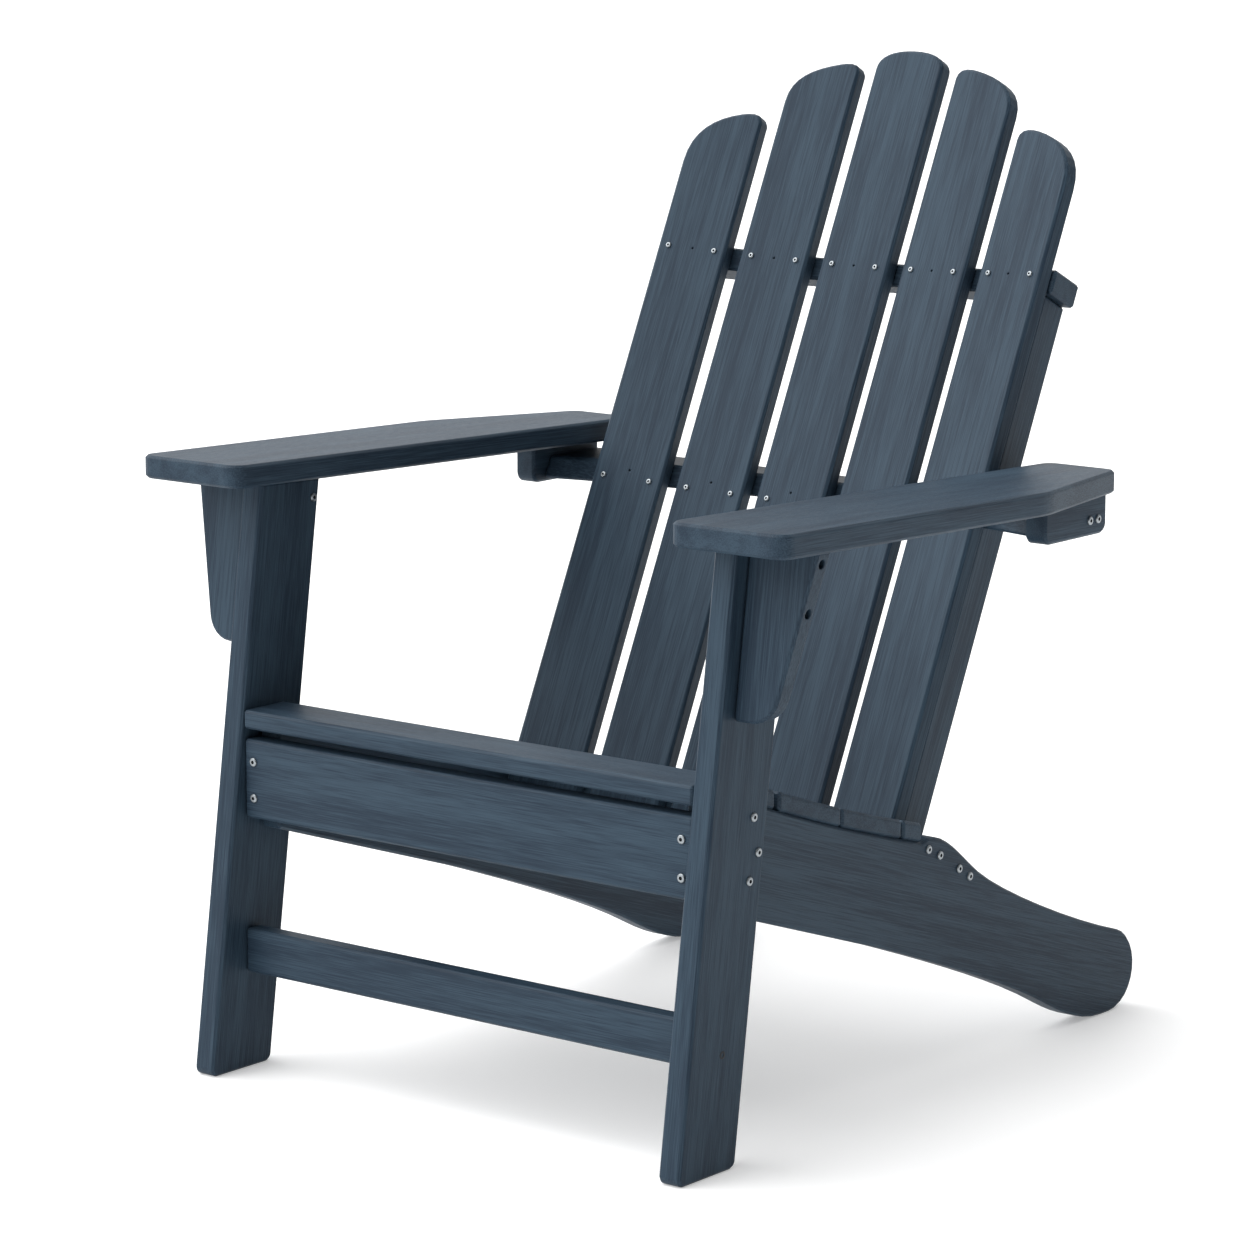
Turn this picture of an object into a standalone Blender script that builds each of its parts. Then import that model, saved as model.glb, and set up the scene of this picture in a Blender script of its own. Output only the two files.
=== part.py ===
"""Adirondack chair in plastic lumber: boards, rails, slats, arms and structural screws.

Metres, +Z up.  The chair faces -Y, its origin is on the floor under the centre of its bounding box.
Depths written as *_Y are measured rearward from the toe of the front legs.
"""

import math

import bmesh
import bpy
from mathutils import Matrix, Vector

# ---------------------------------------------------------------- clearances
JOINT_GAP = 0.0003
ORIGIN_Y = 0.390

# ---------------------------------------------------------------- front legs
LEG_OUTER_X = 0.293
LEG_THICK = 0.024
LEG_WIDTH = 0.083
LEG_LEAN = 0.1425
LEG_TOE_RADIUS = 0.008
LEG_INNER_X = LEG_OUTER_X - LEG_THICK

# ---------------------------------------------------------------- arms
ARM_THICK = 0.022
ARM_UNDER_Z = 0.5642
ARM_SLOPE = -0.03
ARM_FRONT_OVERHANG = 0.050
ARM_INNER_OVERHANG = 0.015
ARM_OUTER_OVERHANG = 0.088
ARM_REAR_WIDTH = 0.079
ARM_KINK_Y = 0.440
ARM_KINK_RADIUS = 0.120
ARM_FRONT_RADIUS = 0.016
ARM_REAR_RADIUS = 0.014
ARM_FRONT_Y = LEG_LEAN * ARM_UNDER_Z - ARM_FRONT_OVERHANG
ARM_INNER_X = LEG_INNER_X - ARM_INNER_OVERHANG
ARM_OUTER_X = LEG_OUTER_X + ARM_OUTER_OVERHANG
ARM_REAR_OUTER_X = ARM_INNER_X + ARM_REAR_WIDTH

# ---------------------------------------------------------------- corbels and arm cleats
CORBEL_THICK = 0.020
CORBEL_SETBACK = 0.018
CORBEL_TOP_WIDTH = 0.075
CORBEL_FOOT_WIDTH = 0.041
CORBEL_HEIGHT = 0.157
CORBEL_FOOT_RADIUS = 0.028
PLUG_HOLE_RADIUS = 0.0045
PLUG_HOLE_DEPTH = 0.010
CLEAT_WIDTH = 0.034
CLEAT_HEIGHT = 0.040
CLEAT_LENGTH = 0.036
CLEAT_GAP = 0.004
PLUG_HOLE_DROPS = (0.014, 0.058)
PLUG_CUTTER_REACH = 0.004
CORBEL_TOP_ZONE = 0.140

# ---------------------------------------------------------------- seat
SEAT_THICK = 0.018
SEAT_FRONT_Z = 0.350
SEAT_FRONT_Y = 0.050
SEAT_FALL = 0.385
SEAT_DISH = 0.20
SEAT_DEPTHS = (0.056, 0.062, 0.0955, 0.0955, 0.0305)
SEAT_GAPS = (0.004, 0.006, 0.001, 0.0025)
SEAT_CREST_Y = SEAT_FRONT_Y + SEAT_DEPTHS[0]
SEAT_END_Y = SEAT_FRONT_Y + sum(SEAT_DEPTHS) + sum(SEAT_GAPS)
SEAT_RUN = SEAT_END_Y - SEAT_CREST_Y
SEAT_END_Z = SEAT_FRONT_Z - SEAT_FALL * SEAT_RUN + SEAT_DISH * SEAT_RUN ** 2
SEAT_TRIM_ROOM = 0.003

# ---------------------------------------------------------------- apron and lower stretcher
APRON_THICK = 0.022
APRON_HEIGHT = 0.076
APRON_SEAT_GAP = 0.010
APRON_FRONT_Y = SEAT_FRONT_Y + 0.001
APRON_TOP_Z = SEAT_FRONT_Z - SEAT_THICK - APRON_SEAT_GAP
APRON_BOTTOM_Z = APRON_TOP_Z - APRON_HEIGHT
STRETCHER_SETBACK = 0.0325
STRETCHER_THICK = 0.020
STRETCHER_BOTTOM_Z = 0.095
STRETCHER_HEIGHT = 0.043
STRETCHER_FRONT_Y = LEG_LEAN * STRETCHER_BOTTOM_Z + STRETCHER_SETBACK + 0.003

# ---------------------------------------------------------------- side stringers
STRINGER_THICK = 0.024
STRINGER_OUTER_X = LEG_INNER_X - JOINT_GAP
STRINGER_INNER_X = STRINGER_OUTER_X - STRINGER_THICK
STRINGER_FRONT_Z = APRON_BOTTOM_Z - 0.012
STRINGER_DEPTH = 0.107
TAIL_RADIUS = 0.042
TAIL_CENTRE_Y = 0.737
TAIL_SLOPE = math.radians(16.7)

# ---------------------------------------------------------------- back
# Distances along the slats are measured up from the middle of the lower rail.
BACK_TILT = math.radians(25.4)
BACK_Y = SEAT_END_Y + 0.012
BACK_Z = SEAT_END_Z - 0.0277
BACK_RADIUS = 1.330
SLAT_GAP = 0.0155
SLAT_SIDE_ROOM = 0.011
SLAT_WIDTH = (2 * (STRINGER_INNER_X - SLAT_SIDE_ROOM) - 4 * SLAT_GAP) / 5
SLAT_PITCH = SLAT_WIDTH + SLAT_GAP
SLAT_THICK = 0.018
SLAT_BOTTOM = -0.018
SLAT_TOPS = (0.799, 0.782, 0.719)
SLAT_SHOULDERS = (0.020, 0.046, 0.059)
SLAT_TAPER = 0.003
BACK_HALF = 2.5 * SLAT_WIDTH + 2 * SLAT_GAP
RAIL_THICK = 0.022
RAIL_REAR = 0.044
LOWER_RAIL_REAR = 0.034
UPPER_RAIL_MID = 0.568
UPPER_RAIL_THICK = 0.024
UPPER_RAIL_HALF = BACK_HALF + 0.005
UPRIGHT_THICK = 0.022
UPRIGHT_OUTER_X = BACK_HALF - 0.004
UPRIGHT_INNER_X = UPRIGHT_OUTER_X - UPRIGHT_THICK
UPRIGHT_REAR = 0.042
UPRIGHT_ROOM = 0.0005

# ---------------------------------------------------------------- arm rail and its end blocks
ARM_RAIL_DROP = 0.0532
ARM_RAIL_BOTTOM_Z = ARM_UNDER_Z - ARM_RAIL_DROP
ARM_RAIL_Y = BACK_Y + (ARM_RAIL_BOTTOM_Z + RAIL_THICK / 2 - BACK_Z) * math.tan(BACK_TILT)
ARM_RAIL_ALONG = (ARM_RAIL_BOTTOM_Z + RAIL_THICK / 2 - BACK_Z) / math.cos(BACK_TILT)
NOTCH_FRONT = -0.030
NOTCH_REACH = 3 * RAIL_THICK
BLOCK_THICK = 0.024
BLOCK_FRONT_Y = ARM_RAIL_Y - 0.036
BLOCK_REAR_Y = BLOCK_FRONT_Y + 0.106
BLOCK_DROP = 0.004
BLOCK_RADIUS = 0.010
BLOCK_OUTER_X = ARM_REAR_OUTER_X - 0.009
BLOCK_INNER_X = BLOCK_OUTER_X - BLOCK_THICK
ARM_RAIL_REAR_Y = BLOCK_REAR_Y - 0.003
ARM_REAR_Y = BLOCK_REAR_Y + 0.003

# ---------------------------------------------------------------- rear cross rail
CROSS_RAIL_Y = SEAT_END_Y + 0.0705
CROSS_RAIL_Z = SEAT_END_Z - 0.0603
CROSS_RAIL_DEPTH = 0.036
CROSS_RAIL_TILT = math.radians(31.0)

# ---------------------------------------------------------------- edges and screws
EDGE_EASE = 0.0025
SCREW_HEAD_RADIUS = 0.0042
SCREW_HEAD_HEIGHT = 0.0016
SCREW_SHANK_RADIUS = 0.0021
SCREW_SHANK_LENGTH = 0.012
SCREW_SIDES = 16
SCREW_CROWN = 0.55
SCREW_RIM = 0.45
DRILL_REACH = 0.003
LEG_SCREW_SPOTS = ((0.062, 0.034), (0.0735, 0.067), (0.064, 0.091))
RAIL_SCREW_DEPTHS = (-0.002, 0.019)
CROSS_SCREW_OFFSET = 0.0105
BLOCK_SCREW_INSETS = (0.030, 0.016)
APRON_SCREW_DROPS = (0.021, 0.056)
APRON_SCREW_INSET = 0.0125
PILOT_RADIUS = 0.0012
PILOT_DEPTH = 0.004
PILOT_REACH = 0.002
ARC_STEPS = 6
CURVE_STEPS = 8

NAVY = (0.030, 0.052, 0.082, 1.0)
STEEL = (0.66, 0.67, 0.68, 1.0)


def material(name, colour, metallic, roughness):
    made = bpy.data.materials.new(name)
    made.use_nodes = True
    shader = made.node_tree.nodes["Principled BSDF"]
    shader.inputs["Base Color"].default_value = colour
    shader.inputs["Metallic"].default_value = metallic
    shader.inputs["Roughness"].default_value = roughness
    return made


def rounded(corners):
    """Replace each (y, z, radius) corner by an arc, or keep it sharp when the radius is zero."""
    outline = []
    count = len(corners)
    for index, (first, second, radius) in enumerate(corners):
        here = Vector((first, second))
        if radius <= 0.0:
            outline.append(tuple(here))
            continue
        before = (Vector(corners[index - 1][:2]) - here).normalized()
        after = (Vector(corners[(index + 1) % count][:2]) - here).normalized()
        half = before.angle(after) / 2.0
        start = here + before * radius / math.tan(half)
        end = here + after * radius / math.tan(half)
        centre = here + (before + after).normalized() * radius / math.sin(half)
        sweep = (start - centre).angle_signed(end - centre)
        for step in range(ARC_STEPS + 1):
            turn = Matrix.Rotation(-sweep * step / ARC_STEPS, 2)
            outline.append(tuple(centre + turn @ (start - centre)))
    return outline


def bezier(start, pull_start, pull_end, end, steps=CURVE_STEPS):
    """Points of a cubic curve, without its last one."""
    points = []
    for step in range(steps):
        t = step / steps
        k = 1.0 - t
        weights = (k * k * k, 3 * k * k * t, 3 * k * t * t, t * t * t)
        knots = (start, pull_start, pull_end, end)
        first = sum(w * p[0] for w, p in zip(weights, knots))
        second = sum(w * p[1] for w, p in zip(weights, knots))
        points.append((first, second))
    return points


def loft(name, near, far, look, ease=EDGE_EASE):
    """A closed board between two matching loops of 3-D points, with eased edges."""
    mesh = bpy.data.meshes.new(name)
    shape = bmesh.new()
    near_ring = [shape.verts.new(point) for point in near]
    far_ring = [shape.verts.new(point) for point in far]
    shape.faces.new(near_ring)
    shape.faces.new(list(reversed(far_ring)))
    count = len(near_ring)
    for index in range(count):
        following = (index + 1) % count
        quad = (near_ring[index], far_ring[index], far_ring[following], near_ring[following])
        shape.faces.new(quad)
    bmesh.ops.recalc_face_normals(shape, faces=shape.faces)
    shape.to_mesh(mesh)
    shape.free()
    board = bpy.data.objects.new(name, mesh)
    bpy.context.collection.objects.link(board)
    mesh.materials.append(look)
    if ease > 0.0:
        bevel = board.modifiers.new("eased edges", "BEVEL")
        bevel.width = ease
        bevel.segments = 1
        bevel.limit_method = "ANGLE"
        bevel.angle_limit = math.radians(35.0)
    return board


def side_board(name, outline, inner_x, outer_x, look, ease=EDGE_EASE):
    """A board lying in the side plane: outline of (y, z), thickness from inner_x to outer_x."""
    near = [Vector((inner_x, y - ORIGIN_Y, z)) for y, z in outline]
    far = [Vector((outer_x, y - ORIGIN_Y, z)) for y, z in outline]
    return loft(name, near, far, look, ease)


def back_point(x, depth, along):
    """A point of the tilted back: x across, depth rearward from the slat faces, along the slats."""
    y = BACK_Y + depth * math.cos(BACK_TILT) + along * math.sin(BACK_TILT)
    z = BACK_Z - depth * math.sin(BACK_TILT) + along * math.cos(BACK_TILT)
    return Vector((x, y - ORIGIN_Y, z))


def back_board(name, outline, low, high, look, ease=EDGE_EASE):
    """A board square to the slats: outline of (x, depth), thickness from low to high."""
    near = [back_point(x, depth, low) for x, depth in outline]
    far = [back_point(x, depth, high) for x, depth in outline]
    return loft(name, near, far, look, ease)


def cut(board, cutter):
    """Subtract the cutter from the board."""
    cutter.hide_render = True
    cutter.display_type = "WIRE"
    step = board.modifiers.new("cut", "BOOLEAN")
    step.operation = "DIFFERENCE"
    step.solver = "EXACT"
    step.object = cutter


def round_bar(name, centre, axis, radius, length, look=None):
    """A cylinder that starts at centre and runs along axis."""
    axis = Vector(axis).normalized()
    across = axis.orthogonal().normalized()
    up = axis.cross(across)
    near = []
    far = []
    for index in range(SCREW_SIDES):
        angle = 2.0 * math.pi * index / SCREW_SIDES
        offset = (across * math.cos(angle) + up * math.sin(angle)) * radius
        near.append(Vector(centre) + offset)
        far.append(Vector(centre) + offset + axis * length)
    return loft(name, near, far, look, 0.0)


def screw(name, board, point, inward, look):
    """A pan-head screw seated on the board face at point, with its pilot hole in the board."""
    inward = Vector(inward).normalized()
    across = inward.orthogonal().normalized()
    up = inward.cross(across)
    rings = (
        (SCREW_HEAD_RADIUS * SCREW_CROWN, -SCREW_HEAD_HEIGHT - JOINT_GAP),
        (SCREW_HEAD_RADIUS, -SCREW_HEAD_HEIGHT * SCREW_RIM - JOINT_GAP),
        (SCREW_HEAD_RADIUS, -JOINT_GAP),
        (SCREW_SHANK_RADIUS, -JOINT_GAP),
        (SCREW_SHANK_RADIUS, SCREW_SHANK_LENGTH),
    )
    shape = bmesh.new()
    loops = []
    for radius, depth in rings:
        loop = []
        for index in range(SCREW_SIDES):
            angle = 2.0 * math.pi * index / SCREW_SIDES
            offset = (across * math.cos(angle) + up * math.sin(angle)) * radius
            loop.append(shape.verts.new(Vector(point) + inward * depth + offset))
        loops.append(loop)
    shape.faces.new(loops[0])
    shape.faces.new(list(reversed(loops[-1])))
    for lower, upper in zip(loops, loops[1:]):
        for index in range(SCREW_SIDES):
            following = (index + 1) % SCREW_SIDES
            shape.faces.new((lower[index], upper[index], upper[following], lower[following]))
    bmesh.ops.recalc_face_normals(shape, faces=shape.faces)
    mesh = bpy.data.meshes.new(name)
    shape.to_mesh(mesh)
    shape.free()
    mesh.materials.append(look)
    made = bpy.data.objects.new(name, mesh)
    bpy.context.collection.objects.link(made)
    start = Vector(point) - inward * DRILL_REACH
    hole_length = DRILL_REACH + SCREW_SHANK_LENGTH + JOINT_GAP
    hole_radius = SCREW_SHANK_RADIUS + JOINT_GAP
    cut(board, round_bar("drill " + name, start, inward, hole_radius, hole_length, look))
    return made


def arm_under(y):
    return ARM_UNDER_Z + ARM_SLOPE * (y - ARM_FRONT_Y)


def seat_top(y):
    run = max(0.0, y - SEAT_CREST_Y)
    return SEAT_FRONT_Z - SEAT_FALL * run + SEAT_DISH * run * run


def leg_front(z):
    return LEG_LEAN * z


def build_legs(look):
    legs = {}
    for side, sign in (("left", -1), ("right", 1)):
        top_front = leg_front(ARM_UNDER_Z)
        top_rear = top_front + LEG_WIDTH
        outline = rounded([
            (0.0, 0.0, LEG_TOE_RADIUS),
            (LEG_WIDTH, 0.0, LEG_TOE_RADIUS),
            (top_rear, arm_under(top_rear) - JOINT_GAP, 0.0),
            (top_front, arm_under(top_front) - JOINT_GAP, 0.0),
        ])
        inner = sign * LEG_INNER_X
        outer = sign * LEG_OUTER_X
        legs[sign] = side_board("front_leg_" + side, outline, inner, outer, look)
    return legs


def build_front_rails(look):
    half = LEG_INNER_X - JOINT_GAP
    apron_rear = APRON_FRONT_Y + APRON_THICK
    outline = [
        (APRON_FRONT_Y, APRON_BOTTOM_Z),
        (apron_rear, APRON_BOTTOM_Z),
        (apron_rear, APRON_TOP_Z),
        (APRON_FRONT_Y, APRON_TOP_Z),
    ]
    apron = side_board("front_apron", outline, -half, half, look)
    stretcher_top = STRETCHER_BOTTOM_Z + STRETCHER_HEIGHT
    stretcher_rear = STRETCHER_FRONT_Y + STRETCHER_THICK
    outline = [
        (STRETCHER_FRONT_Y, STRETCHER_BOTTOM_Z),
        (stretcher_rear, STRETCHER_BOTTOM_Z),
        (stretcher_rear, stretcher_top),
        (STRETCHER_FRONT_Y, stretcher_top),
    ]
    side_board("lower_stretcher", outline, -half, half, look)
    return apron


def stringer_outline():
    """Side outline: level start, dished top, hump, sloping tail with a round foot, curved underside."""
    front = APRON_FRONT_Y + APRON_THICK + JOINT_GAP
    drop = SEAT_THICK + JOINT_GAP
    top = [(front, seat_top(front) - drop)]
    steps = 14
    for step in range(steps + 1):
        y = SEAT_CREST_Y + (SEAT_END_Y - SEAT_CREST_Y) * step / steps
        top.append((y, seat_top(y) - drop))
    hump = (SEAT_END_Y + 0.011, SEAT_END_Z - drop + 0.0025)
    waist = (hump[0] + 0.086, hump[1] - 0.0485)
    foot = (TAIL_CENTRE_Y, TAIL_RADIUS)
    tail = (foot[0] + TAIL_RADIUS * math.sin(TAIL_SLOPE), foot[1] + TAIL_RADIUS * math.cos(TAIL_SLOPE))
    run = 0.083
    pull = (tail[0] - run * math.cos(TAIL_SLOPE), tail[1] + run * math.sin(TAIL_SLOPE))
    top += bezier(hump, (hump[0] + 0.030, hump[1]), (waist[0] - 0.030, waist[1] + 0.021), waist)
    top += bezier(waist, (waist[0] + 0.040, waist[1] - 0.028), pull, tail)
    end_steps = 12
    for step in range(end_steps):
        angle = math.pi / 2 - TAIL_SLOPE - (math.pi - TAIL_SLOPE) * step / end_steps
        top.append((foot[0] + TAIL_RADIUS * math.cos(angle), foot[1] + TAIL_RADIUS * math.sin(angle)))
    heel = (foot[0] - 0.015, 0.0)
    instep = (heel[0] - 0.122, foot[1] + 0.001)
    belly_y = (front + instep[0]) / 2
    belly = (belly_y, seat_top(belly_y) - drop - STRINGER_DEPTH)
    rake = (belly[1] - instep[1]) / (instep[0] - belly[0])
    brow = (STRINGER_FRONT_Z - belly[1]) / (belly[0] - front)
    under = [(foot[0], 0.0)]
    under += bezier(heel, (heel[0] - 0.045, 0.0), (instep[0] + 0.037, instep[1] - 0.018), instep)
    before_belly = (belly[0] + 0.070, belly[1] - 0.063 * rake)
    after_belly = (belly[0] - 0.080, belly[1] + 0.080 * brow)
    before_front = (front + 0.080, STRINGER_FRONT_Z - 0.080 * brow)
    under += bezier(instep, (instep[0] - 0.070, instep[1] + 0.034), before_belly, belly)
    under += bezier(belly, after_belly, before_front, (front, STRINGER_FRONT_Z))
    under.append((front, STRINGER_FRONT_Z))
    return top + under


def build_stringers(look):
    stringers = {}
    outline = stringer_outline()
    for side, sign in (("left", -1), ("right", 1)):
        inner = sign * STRINGER_INNER_X
        outer = sign * STRINGER_OUTER_X
        stringers[sign] = side_board("side_stringer_" + side, outline, inner, outer, look)
    return stringers


def build_seat(look):
    half = STRINGER_OUTER_X
    steps = 6
    start = SEAT_FRONT_Y
    slat = None
    for number, depth in enumerate(SEAT_DEPTHS, 1):
        end = start + depth
        stations = [start + (end - start) * step / steps for step in range(steps + 1)]
        if number == 1:
            stations = [start, end]
        under = [(y, seat_top(y) - SEAT_THICK) for y in stations]
        above = [(y, seat_top(y)) for y in reversed(stations)]
        slat = side_board("seat_slat_" + str(number), under + above, -half, half, look)
        start = end + (SEAT_GAPS + (0.0,))[number - 1]
    under_z = SEAT_END_Z - SEAT_THICK
    corner = slat_front_edge() / math.cos(BACK_TILT)
    trim_front = BACK_Y + corner + (under_z - BACK_Z) * math.tan(BACK_TILT) - SEAT_TRIM_ROOM
    trim_rear = SEAT_END_Y + SEAT_THICK
    low = SEAT_END_Z - 2 * SEAT_THICK
    high = SEAT_END_Z + 2 * SEAT_THICK
    box = [(trim_front, low), (trim_rear, low), (trim_rear, high), (trim_front, high)]
    trim = side_board("seat trim cutter", box, -UPPER_RAIL_HALF, UPPER_RAIL_HALF, look, 0.0)
    cut(slat, trim)


def arm_outline():
    """Plan of an arm as (x, y): straight inside, kinked outside, round corners."""
    return rounded([
        (ARM_INNER_X, ARM_FRONT_Y, ARM_FRONT_RADIUS),
        (ARM_OUTER_X, ARM_FRONT_Y, ARM_FRONT_RADIUS),
        (ARM_OUTER_X, ARM_KINK_Y, ARM_KINK_RADIUS),
        (ARM_REAR_OUTER_X, ARM_REAR_Y, ARM_REAR_RADIUS),
        (ARM_INNER_X, ARM_REAR_Y, ARM_REAR_RADIUS),
    ])


def build_arms(look):
    for side, sign in (("left", -1), ("right", 1)):
        plan = arm_outline()
        under = [Vector((sign * x, y - ORIGIN_Y, arm_under(y))) for x, y in plan]
        above = [point + Vector((0.0, 0.0, ARM_THICK)) for point in under]
        loft("arm_" + side, under, above, look)


def build_corbels(look):
    """Brackets square to the legs' outer faces, following the legs' lean, and the cleats behind them."""
    top_y = leg_front(ARM_UNDER_Z) + CORBEL_SETBACK
    near_x = LEG_OUTER_X + JOINT_GAP
    foot_z = ARM_UNDER_Z - CORBEL_HEIGHT
    plan = rounded([
        (near_x, foot_z, 0.0),
        (near_x + CORBEL_FOOT_WIDTH, foot_z, CORBEL_FOOT_RADIUS),
        (near_x + CORBEL_TOP_WIDTH, arm_under(top_y), 0.0),
        (near_x, arm_under(top_y), 0.0),
    ])
    for side, sign in (("left", -1), ("right", 1)):
        front = []
        rear = []
        for x, z in plan:
            room = JOINT_GAP if z > foot_z + CORBEL_TOP_ZONE else 0.0
            y = leg_front(z) + CORBEL_SETBACK
            front.append(Vector((sign * x, y - ORIGIN_Y, z - room)))
            fall = ARM_SLOPE * CORBEL_THICK if room else 0.0
            rear.append(Vector((sign * x, y + CORBEL_THICK - ORIGIN_Y, z - room + fall)))
        corbel = loft("arm_corbel_" + side, front, rear, look)
        for number, drop in enumerate(PLUG_HOLE_DROPS, 1):
            z = ARM_UNDER_Z - drop
            reach = CORBEL_TOP_WIDTH - (CORBEL_TOP_WIDTH - CORBEL_FOOT_WIDTH) * drop / CORBEL_HEIGHT
            y = leg_front(z) + CORBEL_SETBACK + CORBEL_THICK / 2
            start = (sign * (near_x + reach + PLUG_CUTTER_REACH), y - ORIGIN_Y, z)
            tool = "plug cutter " + side + str(number)
            length = PLUG_HOLE_DEPTH + PLUG_CUTTER_REACH
            cut(corbel, round_bar(tool, start, (-sign, 0, 0), PLUG_HOLE_RADIUS, length, look))
        start = top_y + CORBEL_THICK + CLEAT_GAP
        end = start + CLEAT_WIDTH
        low = arm_under(start) - CLEAT_HEIGHT
        outline = [
            (start, low),
            (end, low),
            (end, arm_under(end) - JOINT_GAP),
            (start, arm_under(start) - JOINT_GAP),
        ]
        far_x = near_x + CLEAT_LENGTH
        side_board("arm_cleat_" + side, outline, sign * near_x, sign * far_x, look)


def build_blocks(look):
    blocks = {}
    for side, sign in (("left", -1), ("right", 1)):
        outline = rounded([
            (BLOCK_FRONT_Y, ARM_RAIL_BOTTOM_Z - BLOCK_DROP, BLOCK_RADIUS),
            (BLOCK_REAR_Y, ARM_RAIL_BOTTOM_Z - BLOCK_DROP, BLOCK_RADIUS),
            (BLOCK_REAR_Y, arm_under(BLOCK_REAR_Y) - JOINT_GAP, 0.0),
            (BLOCK_FRONT_Y, arm_under(BLOCK_FRONT_Y) - JOINT_GAP, 0.0),
        ])
        inner = sign * BLOCK_INNER_X
        outer = sign * BLOCK_OUTER_X
        blocks[sign] = side_board("arm_rear_block_" + side, outline, inner, outer, look)
    return blocks


def rail_front(x):
    """Depth of a rail's curved front edge at x: just behind the backs of the slats."""
    reach = math.hypot(BACK_RADIUS + SLAT_THICK, SLAT_WIDTH / 2) + JOINT_GAP
    return math.sqrt(reach * reach - x * x) - BACK_RADIUS


def slat_front_edge():
    """Depth of the outermost slat's outer front edge, the foremost line of the back."""
    turn = math.asin(2 * SLAT_PITCH / BACK_RADIUS)
    return BACK_RADIUS * (math.cos(turn) - 1.0) - SLAT_WIDTH / 2 * math.sin(turn)


def slat_back(x):
    """Depth of the outermost slat's back face at x."""
    turn = math.asin(2 * SLAT_PITCH / BACK_RADIUS)
    across = (x - (BACK_RADIUS + SLAT_THICK) * math.sin(turn)) / math.cos(turn)
    return (BACK_RADIUS + SLAT_THICK) * math.cos(turn) - across * math.sin(turn) - BACK_RADIUS


def rail_plan(half, rear):
    steps = 16
    plan = []
    for step in range(steps + 1):
        x = -half + 2.0 * half * step / steps
        plan.append((x, rail_front(x)))
    return plan + [(half, rear), (-half, rear)]


def build_back_rails(look):
    low = UPPER_RAIL_MID - UPPER_RAIL_THICK / 2
    plan = rail_plan(UPPER_RAIL_HALF, RAIL_REAR)
    back_board("upper_back_rail", plan, low, low + UPPER_RAIL_THICK, look)
    half = STRINGER_INNER_X - JOINT_GAP
    plan = rail_plan(half, LOWER_RAIL_REAR)
    back_board("lower_back_rail", plan, -RAIL_THICK / 2, RAIL_THICK / 2, look)
    foot = RAIL_THICK / 2 + JOINT_GAP
    head = UPPER_RAIL_MID - UPPER_RAIL_THICK / 2 - JOINT_GAP
    for side, sign in (("left", -1), ("right", 1)):
        inner = sign * UPRIGHT_INNER_X
        outer = sign * UPRIGHT_OUTER_X
        front = slat_back(UPRIGHT_INNER_X) + JOINT_GAP
        plan = [(inner, front), (outer, front), (outer, UPRIGHT_REAR), (inner, UPRIGHT_REAR)]
        back_board("back_upright_" + side, plan, foot, head, look)


def build_arm_rail(look):
    """Level rail between the end blocks; its curved front edge is bevelled to the back's tilt."""
    half = BLOCK_INNER_X - JOINT_GAP
    steps = 18
    loops = []
    for z in (ARM_RAIL_BOTTOM_Z, ARM_RAIL_BOTTOM_Z + RAIL_THICK):
        loop = []
        for step in range(steps + 1):
            x = -half + 2.0 * half * step / steps
            y = BACK_Y + (z - BACK_Z) * math.tan(BACK_TILT) + rail_front(x) / math.cos(BACK_TILT)
            loop.append(Vector((x, y - ORIGIN_Y, z)))
        loop.append(Vector((half, ARM_RAIL_REAR_Y - ORIGIN_Y, z)))
        loop.append(Vector((-half, ARM_RAIL_REAR_Y - ORIGIN_Y, z)))
        loops.append(loop)
    rail = loft("arm_level_rail", loops[0], loops[1], look)
    rear = UPRIGHT_REAR + UPRIGHT_ROOM
    for side, sign in (("left", -1), ("right", 1)):
        inner = sign * (UPRIGHT_INNER_X - UPRIGHT_ROOM)
        outer = sign * (UPRIGHT_OUTER_X + UPRIGHT_ROOM)
        plan = [(inner, NOTCH_FRONT), (outer, NOTCH_FRONT), (outer, rear), (inner, rear)]
        low = ARM_RAIL_ALONG - NOTCH_REACH
        high = ARM_RAIL_ALONG + NOTCH_REACH
        cut(rail, back_board("upright notch " + side, plan, low, high, look, 0.0))


def build_cross_rail(look):
    half = STRINGER_INNER_X - JOINT_GAP
    run = Vector((math.cos(CROSS_RAIL_TILT), -math.sin(CROSS_RAIL_TILT))) * CROSS_RAIL_DEPTH / 2
    rise = Vector((math.sin(CROSS_RAIL_TILT), math.cos(CROSS_RAIL_TILT))) * RAIL_THICK / 2
    middle = Vector((CROSS_RAIL_Y, CROSS_RAIL_Z))
    outline = [tuple(middle + a * run + b * rise) for a, b in ((-1, -1), (1, -1), (1, 1), (-1, 1))]
    side_board("rear_cross_rail", outline, -half, half, look)


def slat_outline(step):
    """Face outline of a back slat as (across, along); step counts outward from the middle slat."""
    half = SLAT_WIDTH / 2
    top = SLAT_TOPS[step]
    shoulder = SLAT_SHOULDERS[step]
    if step == 0:
        arch = 0.007
        head = bezier((half, top - shoulder), (half, top - arch), (half * 0.62, top), (0.0, top))
        return [(-half, SLAT_BOTTOM), (half, SLAT_BOTTOM)] + head + [(0.0, top)] + [
            (-x, along) for x, along in reversed(head)
        ]
    inner_round = 0.010
    near = SLAT_TAPER - half
    outer = bezier((half, top - shoulder), (half, top - shoulder * 0.42), (half * 0.42, top - 0.009),
                   (-half * 0.30, top - 0.002))
    inner = bezier((-half * 0.30, top - 0.002), (-half * 0.60, top + 0.001), (near, top + 0.001),
                   (near, top - inner_round), 5)
    return [(-half, SLAT_BOTTOM), (half, SLAT_BOTTOM)] + outer + inner + [(near, top - inner_round)]


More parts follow.
